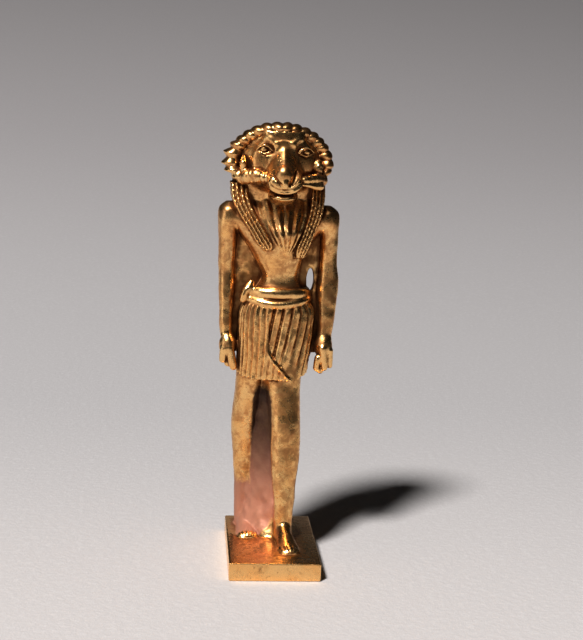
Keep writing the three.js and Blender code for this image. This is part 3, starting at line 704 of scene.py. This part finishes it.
def hair(clay):
    """The wig with its back tab and lappets, and the fleece below the throat."""
    clay.add(column(WIG), 0.2)

    def comb(u, v, z, at):
        return 0.08 * (ridges((u / at["wide"] + 1) * 5.5) - 0.5) * (v > 0)
    clay.add(column(BACK_TAB, 3.0, comb), 0.1)

    def fleece_comb(u, v, z, at):
        return 0.16 * (ridges((u / at["wide"] + 1) * 2.5 + 0.5) - 0.5) * (v < 0)
    clay.add(column(FLEECE, 2.2, fleece_comb), 0.12)
    clay.add(column(LEFT_LAPPET, 3.0, strands(STRANDS, 0.2, 0.02)), 0.05)
    clay.add(column(RIGHT_LAPPET, 3.0, strands(STRANDS, 0.2, 0.02)), 0.05)


def face(clay):
    """The ram's face, from the brow to the chin."""
    clay.add(beam(SKULL), 0.3)
    clay.add(beam(NOSE, 1.4), 0.22)
    clay.add(beam(MUZZLE, 2.2), 0.15)
    clay.add(beam(JAW, 2.2), 0.08)
    clay.add(column(FOREHEAD, 3.0), 0.3)
    curls = lumps(13, 0.2, [-0.6, -0.4, 33.7], [0.6, 0.6, 34.8])
    clay.lift([-0.6, -0.4, 33.7], [0.6, 0.6, 34.8],
              lambda x, y, z: 0.05 * curls(x, y, z) * np.exp(-(x / 0.3) ** 2 - ((z - 34.25) / 0.3) ** 2))
    for side in (-1, 1):
        x = 0.1 + 1.68 * side
        z = 33.72 - 0.06 * side
        clay.carve(ball(x - 0.05 * side, 0.0, z - 0.02, 0.7, 0.42, 0.46), 0.2)
        clay.add(ball(x, 0.42, z - 0.02, 0.33, 0.34, 0.3), 0.03)
        clay.add(rod((x - side * 0.62, -0.02, z - 0.1, 0.06), (x - side * 0.36, 0.0, z + 0.2, 0.07),
                     (x, 0.04, z + 0.34, 0.08), (x + side * 0.36, 0.2, z + 0.2, 0.07),
                     (x + side * 0.62, 0.4, z - 0.08, 0.06)), 0.05)
        clay.add(rod((x - side * 0.5, 0.05, z - 0.2, 0.05), (x, 0.08, z - 0.37, 0.06),
                     (x + side * 0.5, 0.3, z - 0.2, 0.05)), 0.05)
        stroke(clay, (side * 0.66, 34.25, 0.16), (side * 1.2, 34.6, 0.2), (side * 1.95, 34.58, 0.18),
               (side * 2.45, 34.2, 0.12), sink=0.1, blend=0.25)
        clay.add(ball(0.02 + side * 0.82, -1.3, 31.25, 0.5, 0.46, 0.6), 0.12)
    clay.add(ball(-0.06, -1.5, 31.88, 0.66, 0.56, 0.78), 0.12)
    clay.add(ball(0.03, -1.78, 31.25, 0.3, 0.3, 0.5), 0.1)
    stroke(clay, (-1.12, 32.12, 0.06), (-0.8, 31.72, 0.08), (-0.5, 31.4, 0.08), (-0.28, 31.2, 0.06),
           raised=False, sink=0.0, blend=0.04)
    stroke(clay, (1.0, 32.2, 0.13), (0.92, 31.85, 0.24), (0.72, 31.45, 0.26), (0.46, 31.12, 0.15),
           raised=False, sink=0.1, blend=0.04)
    stroke(clay, (-1.2, 31.2, 0.05), (-0.76, 30.86, 0.06), (0.02, 30.74, 0.05), (0.68, 30.84, 0.06),
           (1.25, 31.3, 0.05), raised=False, sink=0.0, blend=0.05)
    stroke(clay, (-1.3, 30.95, 0.1), (-0.76, 30.62, 0.14), (0.02, 30.5, 0.16), (0.68, 30.6, 0.14),
           (1.32, 31.05, 0.1), sink=0.0, blend=0.05)
    clay.carve(rod((-1.08, -1.1, 30.42, 0.09), (-0.5, -1.6, 30.29, 0.11), (0.02, -1.75, 30.26, 0.12),
                   (0.55, -1.6, 30.27, 0.11), (1.1, -1.1, 30.38, 0.09)), 0.04)
    stroke(clay, (-0.88, 30.06, 0.1), (0, 29.94, 0.13), (0.92, 30.06, 0.1), sink=0.04, blend=0.06)


def ears(clay):
    """The ears: a smooth leaf on one side, a worn oval on the other."""
    clay.add(rod((-3.2, 0.95, 33.05, 0.16), (-3.22, 0.7, 32.6, 0.3), (-3.15, 0.75, 32.1, 0.27),
                 (-3.1, 0.9, 31.8, 0.14)), 0.08)
    oval = ball(2.8, 0.85, 32.42, 0.42, 0.5, 0.64)
    lump = lumps(21, 0.16, oval.low, oval.high)
    clay.add(Form(oval.low, oval.high, lambda x, y, z: oval.gap(x, y, z) - 0.05 * lump(x, y, z)), 0.08)


def horns(clay):
    """Both ribbed horns: they turn round the ears from the brow, and come forward to the muzzle."""
    x0, z0 = HORN["x"], HORN["z"]
    rise = HEIGHT - HORN["radial"] - HORN["rib"] - z0

    def rib_number(angle, ribs):
        ribs = np.array(ribs, float)
        valleys = np.concatenate([[0], (ribs[:-1] + ribs[1:]) / 2, [ribs[-1] + 9]])
        return np.interp(angle, valleys, np.arange(len(valleys)))

    def gap(x, y, z):
        u, w = x - x0, z - z0
        out = np.hypot(u, w)
        side = np.where(u < 0, HORN["left"], HORN["right"])
        lift = np.where(w > 0, rise, HORN["fall"])
        angle = np.degrees(np.arctan2(np.abs(u) / side, w / lift))
        turn = angle / math.degrees(HORN["sweep"])
        cos, sin = u / (out + 1e-6), w / (out + 1e-6)
        reach = 1 / np.hypot(cos / side, sin / lift)
        left = 1 - np.abs(2 * (rib_number(angle, LEFT_RIBS) % 1) - 1)
        right = ridges(rib_number(angle, RIGHT_RIBS)) ** 0.8
        sharp = ease(angle, 52, 72) * (u < 0)
        ridge = right + (left - right) * sharp
        curve = np.sin(np.clip(turn, 0, 1) * np.pi * 0.9)
        spike = HORN["spike"] * ridge * curve * sharp * (out > reach)
        swell = HORN["rib"] * (ridge - 0.35)
        back = HORN["front"] + HORN["set_back"] * curve
        inner = HORN["inner"] * curve * (out < reach)
        outside = section_gap(out - reach, y - back, HORN["radial"] + swell + spike + inner,
                              HORN["deep"] + swell, 2.0)
        return np.maximum(outside, (turn - 1) * 3.0)
    low = [x0 - 5.2, -0.4, z0 - 2.4]
    clay.add(Form(low, [x0 + 5.0, 3.4, HEIGHT + 0.1], gap), 0.05)
    clay.add(rod((-3.25, 1.3, 31.45, 0.6), (-2.75, 0.55, 31.55, 0.58), (-2.1, 0.1, 31.65, 0.54),
                 (-1.35, -0.4, 31.5, 0.32), rings=7, ring_height=0.07), 0.16)
    clay.add(rod((3.2, 1.2, 31.35, 0.5), (2.8, 0.4, 31.5, 0.42), (2.2, 0.0, 31.5, 0.4),
                 (1.6, -0.5, 31.45, 0.28), rings=5, ring_height=0.05), 0.16)
    clay.add(rod((2.95, 0.3, 30.95, 0.34), (2.55, 0.0, 30.95, 0.3), (2.0, -0.35, 31.05, 0.2),
                 (1.5, -0.7, 31.1, 0.12)), 0.06)


def suspension_loop(clay):
    """A ring of wire behind the neck, for a cord."""
    def gap(x, y, z):
        return np.hypot(np.hypot(y - 4.95, z - 31.2) - 0.62, x) - 0.27
    clay.add(Form([-0.3, 4.0, 30.2], [0.3, 5.9, 32.2], gap), 0.15)


def model_figure():
    """The whole figure and its plinth, in one block of clay."""
    clay = Clay([-5.35, -6.25, -0.2], [5.45, 6.25, HEIGHT + 0.3], GRID_STEP)
    clay.add(slab(PLINTH * [-0.5, -0.5, 0], PLINTH * [0.5, 0.5, 1], 0.1), 0.05)
    leg_web(clay)
    clay.add(column(REAR_LEG), 0.2)
    clay.add(column(FRONT_LEG), 0.2)
    foot(clay, REAR_FOOT)
    foot(clay, FRONT_FOOT)
    arm_webs(clay)
    clay.add(column(TORSO, 2.3), 0.2)
    kilt(clay)
    belt_roll(clay, **LOWER_ROLL)
    belt_roll(clay, **UPPER_ROLL)
    hip(clay)
    clay.add(column(LEFT_ARM), 0.15)
    clay.add(column(RIGHT_ARM), 0.15)
    shoulders(clay)
    hands(clay)
    hair(clay)
    face(clay)
    ears(clay)
    horns(clay)
    suspension_loop(clay)
    low, high = clay.low, clay.low + clay.step * (np.array(clay.gaps.shape) - 1)
    broad, small = lumps(1, 0.9, low, high), lumps(2, 0.33, low, high)
    clay.lift(low, high, lambda x, y, z: (0.025 * broad(x, y, z) + 0.018 * small(x, y, z))
              * ease(z, GROUND + 0.1, GROUND + 0.5))
    return clay


def figure_mesh(clay):
    """The clay's skin as a mesh, thinned where it is flat."""
    points, faces = clay.skin()
    mesh = bpy.data.meshes.new("amulet_skin")
    mesh.from_pydata((points * MM).tolist(), [], faces.tolist())
    piece = bpy.data.objects.new("amulet", mesh)
    bpy.context.scene.collection.objects.link(piece)
    thin = piece.modifiers.new("thin", "DECIMATE")
    thin.ratio = min(1.0, MOST_TRIANGLES / (2 * len(faces)))
    seen = piece.evaluated_get(bpy.context.evaluated_depsgraph_get())
    piece.data = bpy.data.meshes.new_from_object(seen)
    piece.modifiers.clear()
    piece.data.shade_smooth()
    return piece


def mark_wear_and_shade(piece, clay):
    """Notes at each corner of the mesh how hollow the skin is there, and how rusty; also how closed in it is by nearby
    parts and where the recesses between arms and body lie, which the gold darkens as painted shade.
    """
    mesh = piece.data
    points = np.empty(len(mesh.vertices) * 3)
    mesh.vertices.foreach_get("co", points)
    points = points.reshape(-1, 3) / MM
    slope = clay.slope(points)
    outward = slope / np.maximum(np.linalg.norm(slope, axis=1), 1e-6)[:, None]
    hollow = np.zeros(len(points))
    for reach in (0.16, 0.34):
        hollow += np.clip(1 - clay.at(points + outward * reach) / reach, 0, 1) / 2
    crest = np.zeros(len(points))
    for reach in (0.2, 0.45):
        crest += np.clip(1 + clay.at(points - outward * reach) / reach, 0, 1) / 2
    # how closed in each point is by nearby parts: the gold paints shade from it into deep recesses
    shelter = clay.shelter(points, outward)
    x, y, z = points.T
    between = ease(x, -2.1, -1.3) * (1 - ease(x, 0.2, 1.0)) * ease(y, 0.4, 1.4) * (1 - ease(y, 3.6, 4.4))
    low = (1 - ease(z, 12.5, 15)) * ease(z, 1.3, 1.8)
    rear = (1 - ease(z, 4, 7)) * ease(z, 1.3, 1.7) * (1 - ease(x, -0.6, 0.4)) * ease(y, 0.3, 1)
    # the recesses between each arm and the body, marked for painted shade
    beside = ease(np.abs(x), 1.2, 1.6) * (1 - ease(np.abs(x), 3.7, 4.1)) * ease(y, 2.5, 2.8)
    beside = beside * (1 - ease(y, 3.8, 4.2)) * ease(z, 15.5, 16.5) * (1 - ease(z, 27, 27.8)) * ease(shelter, 0.15, 0.4)
    for name, amount in (("hollow", hollow), ("crest", crest), ("shelter", shelter), ("beside", beside),
                         ("web", np.maximum(between * low, 0.8 * rear)), ("web_height", ease(z, 3, 11))):
        layer = mesh.attributes.new(name, "FLOAT", "POINT")
        layer.data.foreach_set("value", np.ascontiguousarray(amount, dtype=np.float32))


# Materials

class Wire:
    """A socket in a material's node tree, so that shading can be written as arithmetic."""

    def __init__(self, shade, socket):
        self.shade = shade
        self.socket = socket

    def math(self, kind, *others):
        inputs = dict(enumerate((self,) + others))
        return self.shade.node("Math", inputs, operation=kind)

    def __add__(self, other):
        return self.math("ADD", other)

    def __sub__(self, other):
        return self.math("SUBTRACT", other)

    def __rsub__(self, other):
        return self.math("MULTIPLY_ADD", -1, other)

    def __mul__(self, other):
        return self.math("MULTIPLY", other)

    def __pow__(self, other):
        return self.math("POWER", other)

    __radd__ = __add__
    __rmul__ = __mul__

    def ramp(self, start, end):
        """Rises smoothly from 0 at start to 1 at end."""
        return self.shade.node("MapRange", {0: self, 1: start, 2: end}, interpolation_type="SMOOTHSTEP")


class Shade:
    """A new material with its shader, and the nodes that feed it."""

    def __init__(self, name):
        self.material = bpy.data.materials.new(name)
        self.material.use_nodes = True
        self.tree = self.material.node_tree
        self.shader = self.tree.nodes["Principled BSDF"]

    def feed(self, socket, value):
        if isinstance(value, Wire):
            self.tree.links.new(value.socket, socket)
        else:
            socket.default_value = value

    def node(self, kind, inputs, out=0, **settings):
        made = self.tree.nodes.new("ShaderNode" + kind)
        for name, value in settings.items():
            setattr(made, name, value)
        for slot, value in inputs.items():
            self.feed(made.inputs[slot], value)
        return Wire(self, made.outputs[out])

    def place(self, scale=1.0):
        """Object coordinates in millimetres, stretched by scale."""
        where = self.node("TexCoord", {}, "Object")
        stretch = tuple(np.broadcast_to(scale, 3) / MM)
        return self.node("VectorMath", {0: where, 1: stretch}, operation="MULTIPLY")

    def noise(self, where, scale, detail=2.0, rough=0.5, warp=0.0):
        return self.node("TexNoise", {"Vector": where, "Scale": scale, "Detail": detail,
                                      "Roughness": rough, "Distortion": warp})

    def mix(self, share, first, second):
        return self.node("Mix", {0: share, 6: first, 7: second}, 2, data_type="RGBA")

    def mark(self, name):
        return self.node("Attribute", {}, "Fac", attribute_name=name)

    def finish(self, **inputs):
        for name, value in inputs.items():
            self.feed(self.shader.inputs[name.replace("_", " ").title()], value)
        return self.material


def gold():
    """Old cast gold: warm and mottled, pitted, brown in the hollows, rusty between the legs, with painted shade in
    closed-in recesses and between arms and body, and a painted shadow of the kilt on the upper leg web.
    """
    shade = Shade("old_gold")
    where = shade.place()
    cloud = shade.noise(where, 0.5, 3)
    patch = shade.noise(where, 1.4, 5, 0.65, 0.6)
    grain = shade.noise(where, 4.2, 4, 0.6)
    fine = shade.noise(where, 11.0, 2)
    hollow = shade.mark("hollow")
    shelter = shade.mark("shelter")
    web = shade.mark("web")
    crest = shade.mark("crest")
    # real dirt in crevices and patches, plus painted shade where the skin is closed in and in the recesses between arms
    # and body
    dirt_and_shade = (hollow * 1.4 + shelter * 0.9 + patch * 0.8 + grain * 0.4 - 0.75).ramp(0.1, 0.8)
    dirt_and_shade = shade.node("Math", {0: dirt_and_shade, 1: shade.mark("beside") * 0.9}, operation="MAXIMUM")
    stain = (patch * 1.2 + grain * 0.4 + hollow * 0.5 - crest * 0.9).ramp(0.62, 1.0)
    pits = (grain * 0.7 + fine * 0.45).ramp(0.70, 0.80)
    metal = shade.mix(cloud.ramp(0.35, 0.65), (0.97, 0.56, 0.22, 1), (0.95, 0.61, 0.27, 1))
    metal = shade.mix(stain * 0.75, metal, (0.50, 0.22, 0.085, 1))
    metal = shade.mix(dirt_and_shade * 0.9, metal, (0.13, 0.045, 0.014, 1))
    metal = shade.mix(pits * 0.7, metal, (0.16, 0.06, 0.02, 1))
    # pink rust low between the legs, going near black higher up as a painted shadow of the kilt over the leg web
    rust_and_kilt_shadow = shade.mix(shade.mark("web_height"), (0.46, 0.21, 0.14, 1), (0.035, 0.009, 0.004, 1))
    rust = (web * 1.6 + grain * 0.5 - 0.3).ramp(0.2, 0.8)
    metal = shade.mix(rust * 0.95, metal, rust_and_kilt_shadow)
    roughness = 0.20 + patch * 0.12 + stain * 0.1 + dirt_and_shade * 0.2 + pits * 0.1 + rust * 0.2
    height = patch * 0.8 + grain * 0.5 - pits * 0.4 - stain * 0.2 + fine * 0.12 + rust * grain * 0.8
    normal = shade.node("Bump", {"Strength": 0.4, "Distance": 0.07 * MM, "Height": height})
    return shade.finish(base_color=metal, metallic=1 - rust * 0.75, roughness=roughness, normal=normal)


def sweep():
    """The pale paper under the amulet: it ends beside the camera and rises in a curve behind, with painted shade
    darkening it towards the back.
    """
    along = np.concatenate([[-0.16], np.linspace(0.1, 1.6, 31)])
    rise = np.maximum(along - 0.1, 0) ** 2 * 0.17
    corners = [(edge + side * 0.35 * max(y, 0), y, z) for y, z in zip(along, rise)
               for side, edge in ((-1, -0.2), (1, 0.09))]
    faces = [(2 * i, 2 * i + 1, 2 * i + 3, 2 * i + 2) for i in range(len(along) - 1)]
    mesh = bpy.data.meshes.new("paper")
    mesh.from_pydata(corners, [], faces)
    mesh.shade_smooth()
    piece = bpy.data.objects.new("paper", mesh)
    bpy.context.scene.collection.objects.link(piece)
    shade = Shade("grey_paper")
    where = shade.place()
    fibre = shade.noise(where, 1.6, 5, 0.7)
    depth = shade.node("SeparateXYZ", {0: where}, 1)
    height = shade.node("Bump", {"Strength": 0.3, "Distance": 0.3 * MM, "Height": fibre})
    # painted shade: the paper darkens towards the back, where less light falls on it
    paper_tone_and_falloff = shade.mix(depth.ramp(-30, 60), (0.63, 0.60, 0.59, 1), (0.50, 0.485, 0.487, 1))
    paper_tone_and_falloff = shade.mix(depth.ramp(40, 420), paper_tone_and_falloff, (0.46, 0.44, 0.445, 1))
    paper_tone_and_falloff = shade.mix((fibre - 0.5) * 0.5, paper_tone_and_falloff, (1, 1, 1, 1))
    mesh.materials.append(shade.finish(base_color=paper_tone_and_falloff, roughness=0.9, normal=height))


def camera():
    turn, pitch, roll = math.radians(4.61), math.radians(10.28), math.radians(2.11)
    ahead = Vector((math.sin(turn) * math.cos(pitch), math.cos(turn) * math.cos(pitch), -math.sin(pitch)))
    level = Vector((math.cos(turn), -math.sin(turn), 0))
    above = level.cross(ahead)
    right = level * math.cos(roll) + above * math.sin(roll)
    up = above * math.cos(roll) - level * math.sin(roll)
    lens = bpy.data.cameras.new("camera")
    lens.sensor_fit = "VERTICAL"
    lens.sensor_height = 24
    lens.lens = 1400 / 640 * 24
    lens.clip_start = 0.005
    eye = bpy.data.objects.new("camera", lens)
    place = Vector((-1.08 * 7.35, -14.35 * 7.35 - 1.65 * 7.35 / 2, 5.49 * 7.35)) * MM
    turned = Matrix((right, up, -ahead)).transposed().to_4x4()
    eye.matrix_world = Matrix.Translation(place) @ turned
    bpy.context.scene.collection.objects.link(eye)
    bpy.context.scene.camera = eye


def lights():
    world = bpy.data.worlds.new("studio")
    world.use_nodes = True
    world.node_tree.nodes["Background"].inputs["Color"].default_value = (0.012, 0.0115, 0.011, 1)
    bpy.context.scene.world = world
    key = bpy.data.lights.new("key", "AREA")
    key.shape = "DISK"
    key.size = 0.27
    key.energy = 30
    key.color = (1.0, 0.985, 0.975)
    lamp = bpy.data.objects.new("key", key)
    way = Vector((-16, -20, 36)).normalized()
    lamp.location = Vector((0, 0, 0.018)) + way * 1.5
    lamp.rotation_euler = way.to_track_quat("Z", "Y").to_euler()
    bpy.context.scene.collection.objects.link(lamp)
    for name, way, wide, tall, power in (("side card", (-0.92, -0.35, 0.1), 0.25, 0.25, 0.2),
                                         ("top card", (-0.3, -0.45, 0.85), 0.3, 0.3, 0.3)):
        card = bpy.data.lights.new(name, "AREA")
        card.shape = "RECTANGLE"
        card.size, card.size_y = wide, tall
        card.energy = power
        lamp = bpy.data.objects.new(name, card)
        way = Vector(way).normalized()
        lamp.location = Vector((0, 0, 0.018)) + way * 0.4
        lamp.rotation_euler = way.to_track_quat("Z", "Y").to_euler()
        lamp.visible_diffuse = False
        bpy.context.scene.collection.objects.link(lamp)


clay = model_figure()
amulet = figure_mesh(clay)
mark_wear_and_shade(amulet, clay)
amulet.data.materials.append(gold())
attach(amulet, "root")
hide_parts(NODE)
sweep()
camera()
lights()
bpy.context.scene.view_settings.view_transform = "Standard"
bpy.context.scene.view_settings.gamma = 0.85
bpy.context.scene.view_settings.exposure = 0.12
